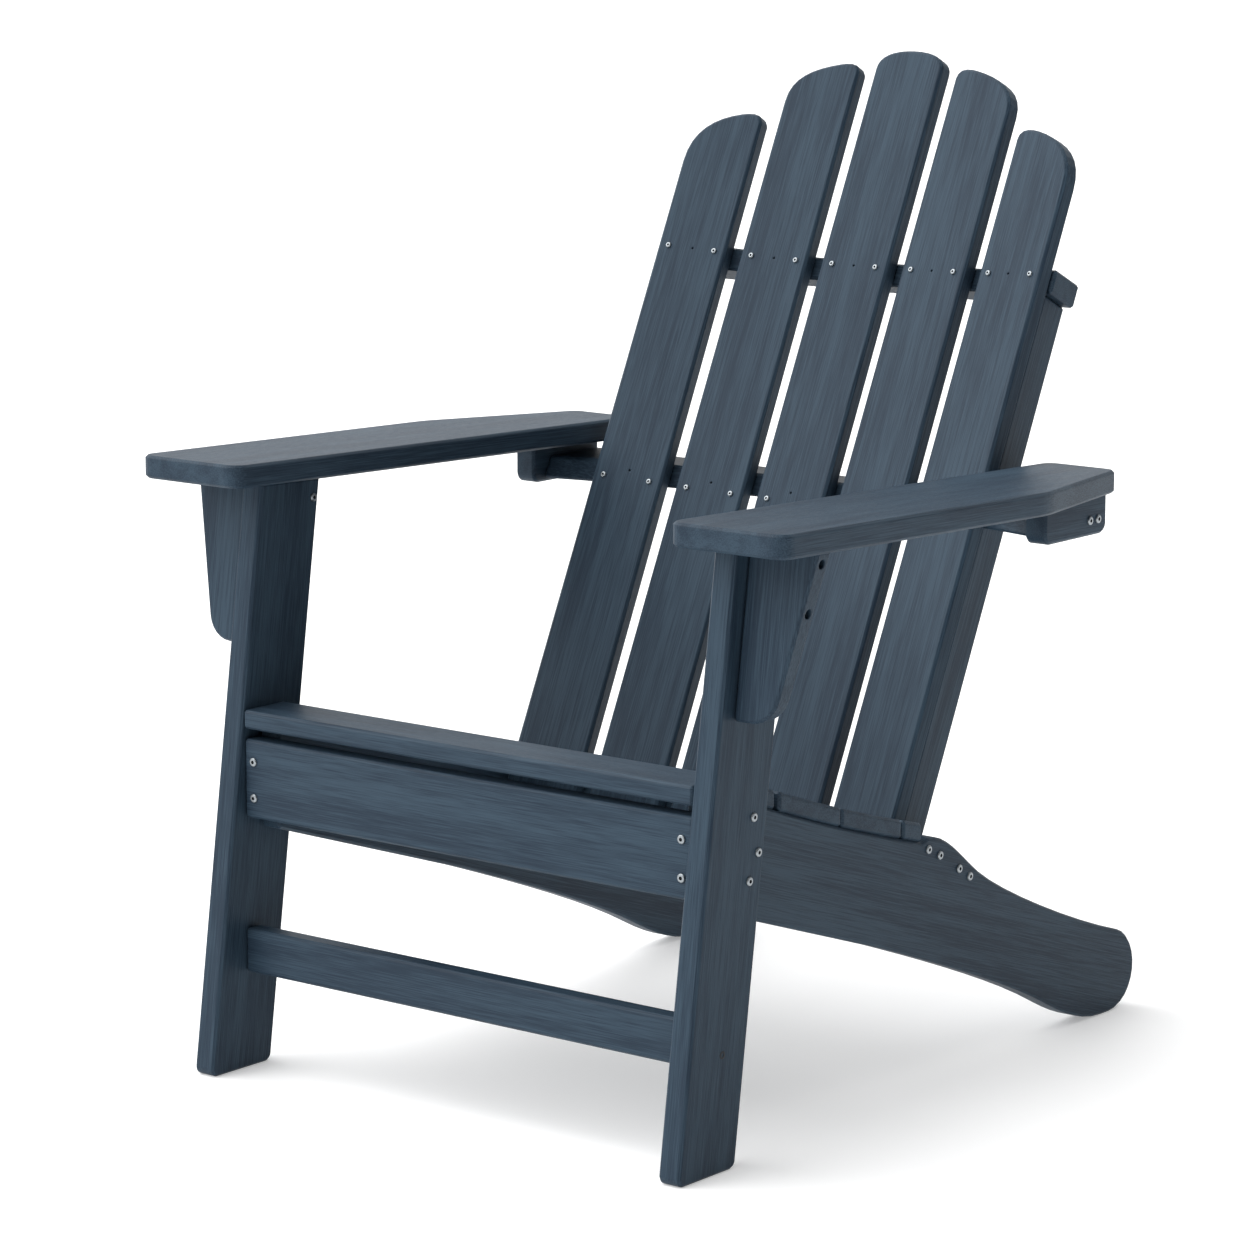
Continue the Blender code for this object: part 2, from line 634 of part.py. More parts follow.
def build_back_slats(look):
    for number in range(-2, 3):
        step = abs(number)
        sign = 1 if number >= 0 else -1
        turn = math.asin(step * SLAT_PITCH / BACK_RADIUS)
        loops = []
        for depth in (0.0, SLAT_THICK):
            loop = []
            for across, along in slat_outline(step):
                reach = BACK_RADIUS + depth
                x = reach * math.sin(turn) + across * math.cos(turn)
                back = reach * math.cos(turn) - across * math.sin(turn) - BACK_RADIUS
                loop.append(back_point(sign * x, back, along))
            loops.append(loop)
        slat = loft("back_slat_" + str(number + 3), loops[0], loops[1], look)
        tilted = math.cos(turn)
        inward = Vector((
            sign * math.sin(turn), tilted * math.cos(BACK_TILT), -tilted * math.sin(BACK_TILT)))
        for row, along in enumerate((UPPER_RAIL_MID, ARM_RAIL_ALONG), 1):
            face = back_point(
                sign * BACK_RADIUS * math.sin(turn), BACK_RADIUS * (math.cos(turn) - 1.0), along)
            tool = "pilot drill " + str(number + 3) + "_" + str(row)
            length = PILOT_REACH + PILOT_DEPTH
            cut(slat, round_bar(tool, face - inward * PILOT_REACH, inward, PILOT_RADIUS, length, look))


def build_screws(legs, apron, stringers, blocks, look):
    rail_spots = [back_point(0.0, depth, 0.0) for depth in RAIL_SCREW_DEPTHS]
    cross_along = Vector((0.0, math.cos(CROSS_RAIL_TILT), -math.sin(CROSS_RAIL_TILT)))
    cross_run = cross_along * CROSS_SCREW_OFFSET
    cross_middle = Vector((0.0, CROSS_RAIL_Y - ORIGIN_Y, CROSS_RAIL_Z))
    rail_spots += [cross_middle - cross_run, cross_middle + cross_run]
    block_z = ARM_RAIL_BOTTOM_Z + RAIL_THICK / 2
    for side, sign in (("left", -1), ("right", 1)):
        inward = (-sign, 0, 0)
        for number, (inset, drop) in enumerate(LEG_SCREW_SPOTS, 1):
            z = SEAT_FRONT_Z - drop
            name = "leg_screw_" + side + "_" + str(number)
            spot = (sign * LEG_OUTER_X, leg_front(z) + inset - ORIGIN_Y, z)
            screw(name, legs[sign], spot, inward, look)
        for number, spot in enumerate(rail_spots, 1):
            name = "stringer_screw_" + side + "_" + str(number)
            screw(name, stringers[sign], (sign * STRINGER_OUTER_X, spot.y, spot.z), inward, look)
        for number, inset in enumerate(BLOCK_SCREW_INSETS, 1):
            name = "block_screw_" + side + "_" + str(number)
            spot = (sign * BLOCK_OUTER_X, BLOCK_REAR_Y - inset - ORIGIN_Y, block_z)
            screw(name, blocks[sign], spot, inward, look)
        for number, drop in enumerate(APRON_SCREW_DROPS, 1):
            name = "apron_screw_" + side + "_" + str(number)
            x = sign * (LEG_INNER_X - APRON_SCREW_INSET)
            spot = (x, APRON_FRONT_Y - ORIGIN_Y, APRON_TOP_Z - drop)
            screw(name, apron, spot, (0, 1, 0), look)


def main():
    for old in list(bpy.data.objects):
        bpy.data.objects.remove(old, do_unlink=True)
    lumber = material("navy plastic lumber", NAVY, 0.0, 0.55)
    steel = material("stainless steel", STEEL, 1.0, 0.35)
    legs = build_legs(lumber)
    apron = build_front_rails(lumber)
    stringers = build_stringers(lumber)
    build_seat(lumber)
    build_arms(lumber)
    build_corbels(lumber)
    blocks = build_blocks(lumber)
    build_back_rails(lumber)
    build_arm_rail(lumber)
    build_cross_rail(lumber)
    build_back_slats(lumber)
    build_screws(legs, apron, stringers, blocks, steel)


main()
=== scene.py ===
import math

import bmesh
import bpy
from bpy.props import FloatProperty, FloatVectorProperty, IntProperty, PointerProperty
from mathutils import Matrix, Vector


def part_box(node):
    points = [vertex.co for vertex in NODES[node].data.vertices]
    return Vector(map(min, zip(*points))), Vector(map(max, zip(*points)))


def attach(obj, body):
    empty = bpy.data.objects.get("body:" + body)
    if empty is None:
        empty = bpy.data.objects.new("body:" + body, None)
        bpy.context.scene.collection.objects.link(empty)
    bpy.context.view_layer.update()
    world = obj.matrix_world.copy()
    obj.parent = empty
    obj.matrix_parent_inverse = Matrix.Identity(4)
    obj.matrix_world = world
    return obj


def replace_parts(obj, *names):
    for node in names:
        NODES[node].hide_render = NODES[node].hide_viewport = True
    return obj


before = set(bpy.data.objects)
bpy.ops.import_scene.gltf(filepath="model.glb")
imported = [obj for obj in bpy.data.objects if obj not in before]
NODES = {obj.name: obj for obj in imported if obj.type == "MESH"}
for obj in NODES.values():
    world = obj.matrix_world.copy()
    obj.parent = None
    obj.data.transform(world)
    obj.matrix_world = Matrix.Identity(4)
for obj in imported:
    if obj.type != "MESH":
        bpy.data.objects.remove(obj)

bl_info = {
    "name": "Adirondack Chair",
    "version": (1, 0, 0),
    "blender": (4, 5, 0),
    "location": "3D Viewport > Sidebar > Chair",
    "description": "Finishes, screws and studio for a garden chair in plastic lumber",
    "category": "Object",
}

MM = 0.001
SIDES = (("left", -1), ("right", 1))
SLAT_COUNT = 5

# lumber grain: how the fine scuffs relate to the streaks, and how the layers mix
SCUFF_WIDTH_SHARE = 0.6
SCUFF_LENGTH_SHARE = 0.12
BAND_SHARE = 0.35
TONE_LOW, TONE_HIGH = 0.38, 0.62
NOISE_LOW, NOISE_HIGH = 0.3, 0.7
ROUGHNESS_BELOW, ROUGHNESS_ABOVE = 0.08, 0.10
STREAK_DEPTH = 0.25 * MM
SCUFF_DEPTH = 0.12 * MM
STREAK_BUMP = 0.30
SCUFF_BUMP = 0.20
LUMBER_IOR = 1.54
LUMBER_SPECULAR = 0.14
BEVEL_SAMPLES = 6
STRINGER_SLOPE = math.radians(18)

# steel and floor grain
STEEL_GRAIN = 0.9 * MM
STEEL_GRAIN_DEPTH = 0.05 * MM
STEEL_BUMP = 0.15
STEEL_SMOOTHEST, STEEL_ROUGHEST = 0.30, 0.46
STEEL_TINT_SHARE = 0.82
# the recess colour is painted shade; these set its faint mottle
RECESS_SHADE_TINT_SHARE = 0.6
RECESS_GRAIN = 0.6 * MM
ROLLER_MOTTLE = 0.4
FLOOR_TINT_SHARE = 0.985

# screw head, as shares of its height or radius
HEAD_ROUND_SHARE = 0.6
RECESS_FLOOR_SHARE = 0.25
SHANK_MOST_SHARE = 0.6
SHANK_POINT_SHARE = 0.6
HEAD_ROUND_STEPS = 4
SMOOTH_ANGLE = math.radians(35)
PICK_FLAT = 0.01
PICK_ROUND = 0.02

# where the leg joint screws sit
STRETCHER_SCREW_BACK = 4 * MM
STRETCHER_SCREW_DOWN = 8 * MM
STRETCHER_SCREW_SUNK_SHARE = 0.85
CLEAT_SCREW_INSET = 4 * MM

# studio
FLOOR_RIM_SHARE = 0.02
FLOOR_CUTS = 3
KEY_FROM = (-0.70, -0.45, 1.0)
ROOM_LIT_FROM = (-0.85, 0.05, 0.50)
ROOM_FADE = 0.75
SENSOR_WIDTH_MM = 36.0
SEE_AS_FAR_AS = 200.0
WHITE = (1.0, 1.0, 1.0, 1.0)
PROBE_REACH = 1.0


def linear(code):
    """An sRGB hex colour as linear red, green and blue."""
    parts = [int(code[start:start + 2], 16) / 255.0 for start in (1, 3, 5)]
    return tuple(v / 12.92 if v <= 0.04045 else ((v + 0.055) / 1.055) ** 2.4 for v in parts)


# ------------------------------------------------------------------ sizes and colours to change


class ChairLumber(bpy.types.PropertyGroup):
    """The dyed plastic lumber that every board is cut from."""

    pale: FloatVectorProperty(
        name="Pale grain", description="Colour of the raised, lighter streaks of the lumber",
        subtype="COLOR", size=3, min=0.0, max=1.0, default=linear("#334452"))
    deep: FloatVectorProperty(
        name="Deep grain", description="Colour of the darker streaks of the lumber",
        subtype="COLOR", size=3, min=0.0, max=1.0, default=linear("#202E3C"))
    streak_width: FloatProperty(
        name="Streak width", description="Width of one brushed streak across the board",
        unit="LENGTH", min=0.0002, max=0.02, default=1.0 * MM)
    streak_length: FloatProperty(
        name="Streak length", description="Length of one brushed streak along the board",
        unit="LENGTH", min=0.005, max=1.0, default=60 * MM)
    band_width: FloatProperty(
        name="Band width",
        description="Width of the broad bands where the dye came out lighter or darker",
        unit="LENGTH", min=0.002, max=0.2, default=22 * MM)
    band_length: FloatProperty(
        name="Band length", description="Length of the broad bands of dye along the board",
        unit="LENGTH", min=0.02, max=2.0, default=340 * MM)
    edge_radius: FloatProperty(
        name="Edge radius", description="Roundness of the routed board edges",
        unit="LENGTH", min=0.0, max=0.01, default=2.2 * MM)
    roughness: FloatProperty(
        name="Roughness", description="Dullness of the brushed face",
        subtype="FACTOR", min=0.0, max=1.0, default=0.50)


class ChairScrews(bpy.types.PropertyGroup):
    """The stainless pan-head screws."""

    steel: FloatVectorProperty(
        name="Steel", description="Colour of the tumbled stainless head",
        subtype="COLOR", size=3, min=0.0, max=1.0, default=linear("#9CA2A6"))
    # The drive recess colour is painted shade: a dark colour that stands for the shadow inside the recess.
    recess: FloatVectorProperty(
        name="Drive recess", description="Colour inside the drive recess",
        subtype="COLOR", size=3, min=0.0, max=1.0, default=linear("#1C2126"))
    head_radius: FloatProperty(
        name="Head radius", description="Radius of the screw heads",
        unit="LENGTH", min=0.002, max=0.01, default=4.2 * MM)
    head_height: FloatProperty(
        name="Head height", description="How far a head stands above its board",
        unit="LENGTH", min=0.0005, max=0.005, default=1.9 * MM)
    slat_head_radius: FloatProperty(
        name="Slat head radius", description="Radius of the smaller heads in the back slats",
        unit="LENGTH", min=0.0015, max=0.01, default=2.9 * MM)
    recess_share: FloatProperty(
        name="Recess share", description="Width of the drive recess as a share of the head's width",
        subtype="FACTOR", min=0.1, max=0.6, default=0.42)
    shank_radius: FloatProperty(
        name="Shank radius", description="Radius of the screw shank",
        unit="LENGTH", min=0.0005, max=0.004, default=2.0 * MM)
    slat_spacing: FloatProperty(
        name="Slat screw spacing", description="Distance between the two screws in a back slat",
        unit="LENGTH", min=0.01, max=0.07, default=53 * MM)
    sides: IntProperty(
        name="Sides", description="Flats round a screw head",
        min=12, max=64, default=32)


class ChairStudio(bpy.types.PropertyGroup):
    """The floor, lights and camera."""

    floor: FloatVectorProperty(
        name="Floor", description="Colour of the pale floor",
        subtype="COLOR", size=3, min=0.0, max=1.0, default=linear("#E6E6E6"))
    floor_size: FloatProperty(
        name="Floor size", description="Width of the floor",
        unit="LENGTH", min=4.0, max=200.0, default=60.0)
    # Painted light: an even glow from the floor that makes the chair's shadow on it paler.
    floor_glow: FloatProperty(
        name="Floor glow",
        description="Light that comes up through the floor, as on a lit product table",
        min=0.0, max=2.0, default=0.30)
    key_strength: FloatProperty(
        name="Key strength", description="Brightness of the overhead light",
        min=0.0, max=20.0, default=2.5)
    key_softness: FloatProperty(
        name="Key softness", description="How wide the overhead light looks from the floor",
        subtype="ANGLE", unit="ROTATION", min=0.0, max=math.pi, default=math.radians(75))
    room_dim: FloatProperty(
        name="Room dim side",
        description="Brightness of the room low down and to the right, where no light stands",
        min=0.0, max=5.0, default=0.05)
    room_bright: FloatProperty(
        name="Room bright side",
        description="Brightness of the room overhead and to the left, where the wall is lit",
        min=0.0, max=5.0, default=1.35)
    camera_place: FloatVectorProperty(
        name="Camera place", description="Where the camera stands",
        subtype="TRANSLATION", unit="LENGTH", size=3, default=(2.6716, -3.4503, 1.2241))
    camera_turn: FloatVectorProperty(
        name="Camera turn", description="How the camera is turned",
        subtype="EULER", unit="ROTATION", size=3,
        default=(math.radians(79.45), 0.0, math.radians(38.52)))
    camera_lens: FloatProperty(
        name="Lens", description="Focal length on a 36 mm sensor, in millimetres",
        min=10.0, max=400.0, default=132.1)


# ------------------------------------------------------------------ small tools


def add_node(tree, kind, settings=None, values=None, links=None):
    """One node with its settings, its own values and the links into it."""
    node = tree.nodes.new(kind)
    for name, value in (settings or {}).items():
        setattr(node, name, value)
    for name, value in (values or {}).items():
        node.inputs[name].default_value = value
    for name, socket in (links or {}).items():
        tree.links.new(socket, node.inputs[name])
    return node


def new_material(name):
    material = bpy.data.materials.new(name)
    material.use_nodes = True
    material.node_tree.nodes.clear()
    return material


def pick(piece, kind, wanted):
    """Select only the faces or edges for which wanted(item) is true, in edit mode."""
    bpy.ops.mesh.select_mode(type=kind)
    bpy.ops.mesh.select_all(action="DESELECT")
    shape = bmesh.from_edit_mesh(piece.data)
    for item in (shape.faces if kind == "FACE" else shape.edges):
        item.select_set(wanted(item))
    bmesh.update_edit_mesh(piece.data)


# ------------------------------------------------------------------ materials


def lumber_material(name, turn):
    """High-density polyethylene lumber, extruded, through-dyed and brushed along its length.

    To the eye it is a dull, even blue-grey with faint long streaks, softer bands where the dye
    flowed unevenly, and a low sheen that catches on the rounded edges. Real streaks are taken to
    be about 0.3 mm wide; they are drawn at 1 mm so that they show.
    """
    sizes = bpy.context.scene.chair_lumber
    material = new_material(name)
    tree = material.node_tree
    place = add_node(tree, "ShaderNodeTexCoord").outputs["Object"]

    layers = (
        (sizes.streak_width, sizes.streak_length,
         {"Detail": 3.0, "Roughness": 0.6, "Distortion": 0.15}),
        (sizes.band_width, sizes.band_length,
         {"Detail": 2.0, "Roughness": 0.5, "Distortion": 0.6}),
        (SCUFF_WIDTH_SHARE * sizes.streak_width, SCUFF_LENGTH_SHARE * sizes.streak_length,
         {"Detail": 4.0, "Roughness": 0.7}),
    )
    patterns = []
    for width, length, character in layers:
        stretched = add_node(
            tree, "ShaderNodeMapping", {"vector_type": "TEXTURE"},
            {"Rotation": turn, "Scale": (width, width, length)}, {"Vector": place}).outputs["Vector"]
        patterns.append(add_node(
            tree, "ShaderNodeTexNoise", None, {"Scale": 1.0, **character},
            {"Vector": stretched}).outputs["Fac"])
    streak, band, scuff = patterns
    tone = add_node(
        tree, "ShaderNodeMix", {"data_type": "FLOAT"}, {0: BAND_SHARE},
        {2: streak, 3: band}).outputs[0]
    tone = add_node(
        tree, "ShaderNodeMapRange", {"interpolation_type": "SMOOTHSTEP"},
        {"From Min": TONE_LOW, "From Max": TONE_HIGH}, {"Value": tone}).outputs["Result"]
    colour = add_node(
        tree, "ShaderNodeMix", {"data_type": "RGBA"},
        {6: (*sizes.deep, 1.0), 7: (*sizes.pale, 1.0)}, {0: tone}).outputs[2]
    dull = add_node(
        tree, "ShaderNodeMapRange", None,
        {"From Min": NOISE_LOW, "From Max": NOISE_HIGH,
         "To Min": sizes.roughness - ROUGHNESS_BELOW, "To Max": sizes.roughness + ROUGHNESS_ABOVE},
        {"Value": scuff}).outputs["Result"]
    rounded = add_node(
        tree, "ShaderNodeBevel", {"samples": BEVEL_SAMPLES},
        {"Radius": sizes.edge_radius}).outputs["Normal"]
    brushed = add_node(
        tree, "ShaderNodeBump", None, {"Strength": STREAK_BUMP, "Distance": STREAK_DEPTH},
        {"Height": streak, "Normal": rounded}).outputs["Normal"]
    scuffed = add_node(
        tree, "ShaderNodeBump", None, {"Strength": SCUFF_BUMP, "Distance": SCUFF_DEPTH},
        {"Height": scuff, "Normal": brushed}).outputs["Normal"]
    plastic = add_node(
        tree, "ShaderNodeBsdfPrincipled", None,
        {"IOR": LUMBER_IOR, "Metallic": 0.0, "Specular IOR Level": LUMBER_SPECULAR},
        {"Base Color": colour, "Roughness": dull, "Normal": scuffed})
    add_node(tree, "ShaderNodeOutputMaterial", None, None, {"Surface": plastic.outputs["BSDF"]})
    return material


def steel_material():
    """Stainless steel, cold-headed and tumbled: a bright grey with a fine satin grain.

    The real grain is taken to be about 0.2 mm; it is drawn at 0.9 mm so that it shows.
    """
    sizes = bpy.context.scene.chair_screws
    material = new_material("Tumbled stainless steel")
    tree = material.node_tree
    place = add_node(tree, "ShaderNodeTexCoord").outputs["Object"]
    grain = add_node(
        tree, "ShaderNodeTexNoise", None, {"Scale": 1.0 / STEEL_GRAIN, "Detail": 3.0},
        {"Vector": place}).outputs["Fac"]
    shade = add_node(
        tree, "ShaderNodeMix", {"data_type": "RGBA"},
        {6: (*[STEEL_TINT_SHARE * part for part in sizes.steel], 1.0), 7: (*sizes.steel, 1.0)},
        {0: grain}).outputs[2]
    dull = add_node(
        tree, "ShaderNodeMapRange", None,
        {"From Min": NOISE_LOW, "From Max": NOISE_HIGH,
         "To Min": STEEL_SMOOTHEST, "To Max": STEEL_ROUGHEST},
        {"Value": grain}).outputs["Result"]
    tumbled = add_node(
        tree, "ShaderNodeBump", None, {"Strength": STEEL_BUMP, "Distance": STEEL_GRAIN_DEPTH},
        {"Height": grain}).outputs["Normal"]
    steel = add_node(
        tree, "ShaderNodeBsdfPrincipled", None, {"Metallic": 1.0},
        {"Base Color": shade, "Roughness": dull, "Normal": tumbled})
    add_node(tree, "ShaderNodeOutputMaterial", None, None, {"Surface": steel.outputs["BSDF"]})
    return material


def recess_material():
    """Steel in a pressed drive recess: dull because unpolished; its dark colour is painted shade for the
    shadow in the recess.
    """
    sizes = bpy.context.scene.chair_screws
    material = new_material("Recess painted shade")
    tree = material.node_tree
    place = add_node(tree, "ShaderNodeTexCoord").outputs["Object"]
    grain = add_node(
        tree, "ShaderNodeTexNoise", None, {"Scale": 1.0 / RECESS_GRAIN, "Detail": 2.0},
        {"Vector": place}).outputs["Fac"]
    shade = add_node(
        tree, "ShaderNodeMix", {"data_type": "RGBA"},
        {6: (*[RECESS_SHADE_TINT_SHARE * part for part in sizes.recess], 1.0), 7: (*sizes.recess, 1.0)},
        {0: grain}).outputs[2]
    steel = add_node(
        tree, "ShaderNodeBsdfPrincipled", None, {"Metallic": 0.0, "Roughness": 0.7},
        {"Base Color": shade})
    add_node(tree, "ShaderNodeOutputMaterial", None, None, {"Surface": steel.outputs["BSDF"]})
    return material


def floor_material():
    """Painted studio board: matt and nearly white, with a very faint roller mottle and a painted glow that
    pales the chair's shadow on it.
    """
    colour = bpy.context.scene.chair_studio.floor
    material = new_material("Matt white studio board")
    tree = material.node_tree
    place = add_node(tree, "ShaderNodeTexCoord").outputs["Object"]
    mottle = add_node(
        tree, "ShaderNodeTexNoise", None, {"Scale": 1.0 / ROLLER_MOTTLE, "Detail": 2.0},
        {"Vector": place}).outputs["Fac"]
    shade = add_node(
        tree, "ShaderNodeMix", {"data_type": "RGBA"},
        {6: (*[FLOOR_TINT_SHARE * part for part in colour], 1.0), 7: (*colour, 1.0)}, {0: mottle}).outputs[2]
    board = add_node(
        tree, "ShaderNodeBsdfPrincipled", None,
        # The emission is painted light that lifts the chair's shadow on the floor.
        {"Roughness": 0.9, "Specular IOR Level": 0.1, "Emission Color": WHITE,
         "Emission Strength": bpy.context.scene.chair_studio.floor_glow},
        {"Base Color": shade})
    add_node(tree, "ShaderNodeOutputMaterial", None, None, {"Surface": board.outputs["BSDF"]})
    return material


# ------------------------------------------------------------------ screws


def model_screw(length, radius):
    """One pan-head screw, head up, seated on z = 0: a rounded disc with a recess and a shank."""
    sizes = bpy.context.scene.chair_screws
    height = sizes.head_height
    recess = radius * sizes.recess_share
    floor_z = height * RECESS_FLOOR_SHARE
    shank = min(sizes.shank_radius, radius * SHANK_MOST_SHARE)
    flat = 1.0 - PICK_FLAT
    near = 1.0 - PICK_ROUND
    bpy.ops.object.select_all(action="DESELECT")
    bpy.ops.mesh.primitive_cylinder_add(
        vertices=sizes.sides, radius=radius, depth=height, location=(0.0, 0.0, height / 2))
    screw = bpy.context.object
    bpy.ops.object.transform_apply(location=True, rotation=True, scale=True)
    screw.data.materials.append(bpy.data.materials["Tumbled stainless steel"])
    screw.data.materials.append(bpy.data.materials["Recess painted shade"])
    bpy.ops.object.mode_set(mode="EDIT")
    pick(screw, "FACE", lambda face: face.normal.z > flat)
    bpy.ops.mesh.inset(thickness=radius - recess)
    bpy.ops.mesh.extrude_region_move(TRANSFORM_OT_translate={"value": (0.0, 0.0, floor_z - height)})
    pick(screw, "FACE", lambda face: all(
        vert.co.xy.length < recess * (1.0 + PICK_ROUND) and vert.co.z > floor_z / 2
        for vert in face.verts))
    # The recess faces get the painted shade material.
    screw.active_material_index = 1
    bpy.ops.object.material_slot_assign()
    pick(screw, "EDGE", lambda edge: all(
        vert.co.z > height * flat and vert.co.xy.length > radius * near for vert in edge.verts))
    bpy.ops.mesh.bevel(offset=height * HEAD_ROUND_SHARE, segments=HEAD_ROUND_STEPS, affect="EDGES")
    pick(screw, "FACE", lambda face: (
        face.normal.z < -flat and face.calc_center_median().z < height * PICK_FLAT))
    bpy.ops.mesh.inset(thickness=radius - shank)
    bpy.ops.mesh.extrude_region_move(TRANSFORM_OT_translate={"value": (0.0, 0.0, height - length)})
    bpy.ops.transform.resize(value=(SHANK_POINT_SHARE, SHANK_POINT_SHARE, 1.0))
    bpy.ops.object.mode_set(mode="OBJECT")
    bpy.ops.object.shade_smooth_by_angle(angle=SMOOTH_ANGLE)
    return screw


def seat_screw(master, name, point, outward):
    """A copy of the master screw seated at point, its head turned to outward."""
    piece = bpy.data.objects.new(name, master.data.copy())
    bpy.context.collection.objects.link(piece)
    turn = Vector((0.0, 0.0, 1.0)).rotation_difference(Vector(outward).normalized())
    piece.data.transform(Matrix.Translation(Vector(point)) @ turn.to_matrix().to_4x4())
    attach(piece, "root")
    return piece


def frame_screw_nodes():
    return sorted(name for name in NODES if "_screw_" in name)


def screw_length():
    low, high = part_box("leg_screw_right_1")
    return high.x - low.x


def drop_master(master):
    mesh = master.data
    bpy.data.objects.remove(master)
    bpy.data.meshes.remove(mesh)


def face_hit(node, origin, direction):
    """Where a line meets a CAD node's surface, and that face's outward normal."""
    hit, point, normal, _ = NODES[node].ray_cast(Vector(origin), Vector(direction).normalized())
    if not hit:
        raise RuntimeError("nothing of " + node + " lies on the line")
    return point, normal


def back_normal():
    """The direction that the middle back slat faces."""
    low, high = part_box("back_slat_3")
    middle = (low + high) / 2
    return face_hit("back_slat_3", (middle.x, low.y - PROBE_REACH, middle.z), (0.0, 1.0, 0.0))[1]


# ------------------------------------------------------------------ operators


class CHAIR_OT_finish_boards(bpy.types.Operator):
    """Give every board its plastic lumber, with the grain running along the board"""

    bl_idname = "chair.finish_boards"
    bl_label = "Finish Boards"

    def execute(self, context):
        tilt = math.asin(back_normal().z)
        low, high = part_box("front_leg_right")
        start = ((low.x + high.x) / 2, low.y - PROBE_REACH, high.z / 3)
        lean = -math.asin(face_hit("front_leg_right", start, (0.0, 1.0, 0.0))[1].z)
        low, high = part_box("arm_right")
        start = ((low.x + high.x) / 2 - 20 * MM, low.y + 100 * MM, high.z + PROBE_REACH / 2)
        slope = math.asin(face_hit("arm_right", start, (0.0, 0.0, -1.0))[1].y)
        quarter = math.pi / 2
        directions = (
            ("across", "across", (0.0, quarter, 0.0)),
            ("back", "back", (-tilt, 0.0, 0.0)),
            ("leg", "legs", (lean, 0.0, 0.0)),
            ("arm", "arms", (-quarter - slope, 0.0, 0.0)),
            ("stringer", "stringers", (-quarter - STRINGER_SLOPE, 0.0, 0.0)),
        )
        looks = {
            kind: lumber_material("HDPE plastic lumber, " + label, turn)
            for kind, label, turn in directions
        }
        grain = (
            ("seat_slat", "across"), ("front_apron", "across"), ("lower_stretcher", "across"),
            ("upper_back_rail", "across"), ("lower_back_rail", "across"), ("arm_level_rail", "across"),
            ("rear_cross_rail", "across"), ("back_slat", "back"), ("back_upright", "back"),
            ("front_leg", "leg"), ("arm_corbel", "leg"), ("arm_cleat", "leg"), ("arm_rear_block", "arm"),
            ("arm_left", "arm"), ("arm_right", "arm"), ("side_stringer", "stringer"),
        )
        for name, node in NODES.items():
            if "_screw_" in name:
                continue
            kinds = [kind for start, kind in grain if name.startswith(start)]
            if not kinds:
                raise RuntimeError("no grain direction is given for " + name)
            for slot in node.material_slots:
                slot.material = looks[kinds[0]]
        return {"FINISHED"}


class CHAIR_OT_make_steel(bpy.types.Operator):
    """Make the steel of the screw heads and the painted shade of their drive recesses"""

    bl_idname = "chair.make_steel"
    bl_label = "Make Steel"

    def execute(self, context):
        steel_material()
        recess_material()
        return {"FINISHED"}


class CHAIR_OT_frame_screws(bpy.types.Operator):
    """Seat a detailed screw at each of the frame screws of the legs, stringers, blocks and apron"""

    bl_idname = "chair.frame_screws"
    bl_label = "Frame Screws"

    def execute(self, context):
        master = model_screw(screw_length(), context.scene.chair_screws.head_radius)
        height = context.scene.chair_screws.head_height
        for name in frame_screw_nodes():
            low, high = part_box(name)
            point = (low + high) / 2
            if name.startswith("apron"):
                outward = Vector((0.0, -1.0, 0.0))
                point.y = low.y + height
            elif "_right_" in name:
                outward = Vector((1.0, 0.0, 0.0))
                point.x = high.x - height
            else:
                outward = Vector((-1.0, 0.0, 0.0))
                point.x = low.x + height
            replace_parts(seat_screw(master, "steel_" + name, point, outward), name)
        drop_master(master)
        return {"FINISHED"}


class CHAIR_OT_slat_screws(bpy.types.Operator):
    """Seat two screws in each back slat at the upper rail and two at the arm rail"""

    bl_idname = "chair.slat_screws"
    bl_label = "Back Slat Screws"

    def execute(self, context):
        master = model_screw(screw_length(), context.scene.chair_screws.slat_head_radius)
        inward = -back_normal()
        half = context.scene.chair_screws.slat_spacing / 2
        rails = (("upper", "upper_back_rail"), ("lower", "arm_level_rail"))
        for row, rail in rails:
            low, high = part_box(rail)
            for number in range(1, SLAT_COUNT + 1):
                slat = "back_slat_" + str(number)
                slat_low, slat_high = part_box(slat)
                centre = (slat_low.x + slat_high.x) / 2
                for side, sign in SIDES:
                    start = (low + high) / 2
                    start.x = centre + sign * half
                    if row == "lower":
                        start.y = low.y
                    point, normal = face_hit(slat, start - inward * PROBE_REACH / 2, inward)
                    name = "_".join(("steel_slat_screw", row, str(number), side))
                    seat_screw(master, name, point, normal)
        drop_master(master)
        return {"FINISHED"}


